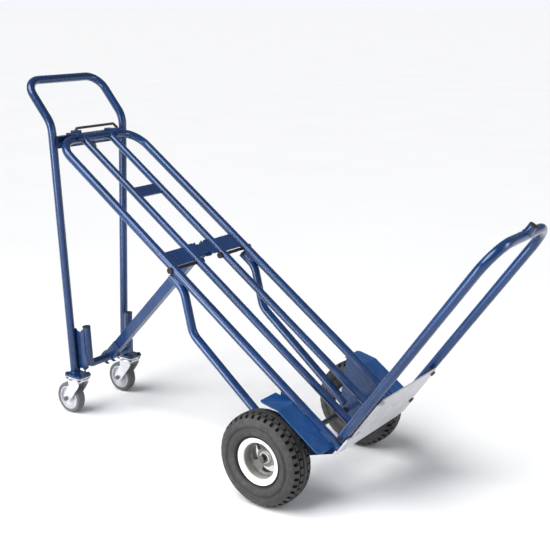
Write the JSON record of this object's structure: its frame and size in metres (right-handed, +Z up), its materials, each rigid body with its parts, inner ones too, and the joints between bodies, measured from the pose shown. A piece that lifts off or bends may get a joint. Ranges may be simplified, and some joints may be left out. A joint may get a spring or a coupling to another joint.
{
  "type": "hand truck",
  "caption": "Three-position tubular steel hand truck standing inclined, with two pneumatic wheels, a folding caster leg frame, strut and folding nose hoop.",
  "frame": {"origin": "middle of the footprint on the floor", "axes": "+X towards the toe plate and nose hoop, +Y to the left of a person at the handle, +Z up; the truck stands in its inclined four-wheel position"},
  "size_m": [1.581, 0.557, 1.0653],
  "materials": {
    "blue_paint": "glossy powder coat",
    "guard_blue": "glossy powder coat",
    "bail_paint": "glossy dark powder coat",
    "plate_galvanised": "dull galvanised",
    "fastener_black": "black oxide",
    "axle_steel": "bright steel",
    "catch_yellow_zinc": "yellow passivated zinc",
    "cap_plastic": "matte",
    "caster_zinc": "bright zinc",
    "tyre_black": "rubber",
    "rim_white": "glossy white enamel",
    "valve_rubber": "rubber",
    "caster_rubber": "grey rubber",
    "caster_core": "grey polypropylene"
  },
  "bodies": {
    "load_frame": {"outer_rail_tube": "blue_paint", "inner_rail_left": "blue_paint", "inner_rail_right": "blue_paint", "upper_strap": "blue_paint", "side_straps": "blue_paint", "strut_bracket": "blue_paint", "strut_pivot_bolt": "fastener_black", "rail_tie_bolts": "fastener_black", "m10_nuts": "fastener_black", "axle_bracket_left": "blue_paint", "axle_bracket_right": "blue_paint", "wheel_brace_left": "blue_paint", "wheel_brace_right": "blue_paint", "axle": "axle_steel", "axle_spacers": "axle_steel", "axle_washers": "axle_steel", "split_pins": "axle_steel", "mudguard_left": "guard_blue", "mudguard_right": "guard_blue", "toe_plate": "plate_galvanised", "toe_stiffeners": "blue_paint", "toe_plate_bolts": "fastener_black", "toe_plate_nuts": "fastener_black", "hoop_hinge_ears": "blue_paint", "hoop_pivot_bolts": "fastener_black"},
    "leg_frame": {"handle_leg_tube": "blue_paint", "upper_cross_bar": "blue_paint", "bail_guide": "blue_paint", "pivot_hooks": "blue_paint", "frame_catch": "catch_yellow_zinc", "lower_cross_tube": "blue_paint", "upright_end_caps": "cap_plastic", "side_plates": "blue_paint", "caster_mount_plates": "blue_paint", "caster_top_plates": "caster_zinc", "caster_kingpins": "caster_zinc", "caster_bolts": "fastener_black", "caster_nuts": "fastener_black"},
    "release_bail": {"release_bail": "bail_paint"},
    "strut": {"strut_bar": "blue_paint", "strut_hook_plates": "blue_paint"},
    "nose_hoop": {"nose_hoop_tube": "blue_paint", "hoop_stub": "blue_paint", "hoop_stub_cap": "cap_plastic"},
    "wheel_left": {"tyre_left": "tyre_black", "rim_left": "rim_white", "valve_left": "valve_rubber", "wheel_bearings_left": "axle_steel"},
    "caster_left": {"caster_fork_left": "caster_zinc", "caster_axle_left": "axle_steel"},
    "caster_wheel_left": {"caster_tyre_left": "caster_rubber", "caster_wheel_core_left": "caster_core"},
    "wheel_right": {"tyre_right": "tyre_black", "rim_right": "rim_white", "valve_right": "valve_rubber", "wheel_bearings_right": "axle_steel"},
    "caster_right": {"caster_fork_right": "caster_zinc", "caster_axle_right": "axle_steel"},
    "caster_wheel_right": {"caster_tyre_right": "caster_rubber", "caster_wheel_core_right": "caster_core"}
  },
  "joints": [
    {"name": "leg_fold", "type": "hinge", "parent": "load_frame", "child": "leg_frame", "pos_m": [-0.63685, 0, 0.8828], "axis": [0, -1, 0], "range_deg": [0, 50]},
    {"name": "strut_fold", "type": "hinge", "parent": "load_frame", "child": "strut", "pos_m": [-0.24491, 0, 0.56549], "axis": [0, 1, 0], "range_deg": [0, 76]},
    {"name": "hoop_fold", "type": "hinge", "parent": "load_frame", "child": "nose_hoop", "pos_m": [0.37844, 0, 0.2111], "axis": [0, -1, 0], "range_deg": [0, 90]},
    {"name": "bail_lift", "type": "slide", "parent": "leg_frame", "child": "release_bail", "axis": [0, 0, 1], "range_m": [0, 0.01], "stiffness_N_per_m": 400, "springref_m": -0.005},
    {"name": "wheel_spin_left", "type": "hinge", "parent": "load_frame", "child": "wheel_left", "pos_m": [0.18795, 0.2363, 0.13], "axis": [0, 1, 0], "continuous": true},
    {"name": "caster_swivel_left", "type": "hinge", "parent": "leg_frame", "child": "caster_left", "pos_m": [-0.65205, 0.1155, 0.118], "axis": [0, 0, 1], "continuous": true},
    {"name": "caster_spin_left", "type": "hinge", "parent": "caster_left", "child": "caster_wheel_left", "pos_m": [-0.68805, 0.1155, 0.05], "axis": [0, 1, 0], "continuous": true},
    {"name": "wheel_spin_right", "type": "hinge", "parent": "load_frame", "child": "wheel_right", "pos_m": [0.18795, -0.2363, 0.13], "axis": [0, 1, 0], "continuous": true},
    {"name": "caster_swivel_right", "type": "hinge", "parent": "leg_frame", "child": "caster_right", "pos_m": [-0.65205, -0.1155, 0.118], "axis": [0, 0, 1], "continuous": true},
    {"name": "caster_spin_right", "type": "hinge", "parent": "caster_right", "child": "caster_wheel_right", "pos_m": [-0.68805, -0.1155, 0.05], "axis": [0, 1, 0], "continuous": true}
  ],
  "couplings": [
    {"joint": "strut_fold", "follows": "leg_fold", "ratio": 1.52}
  ]
}
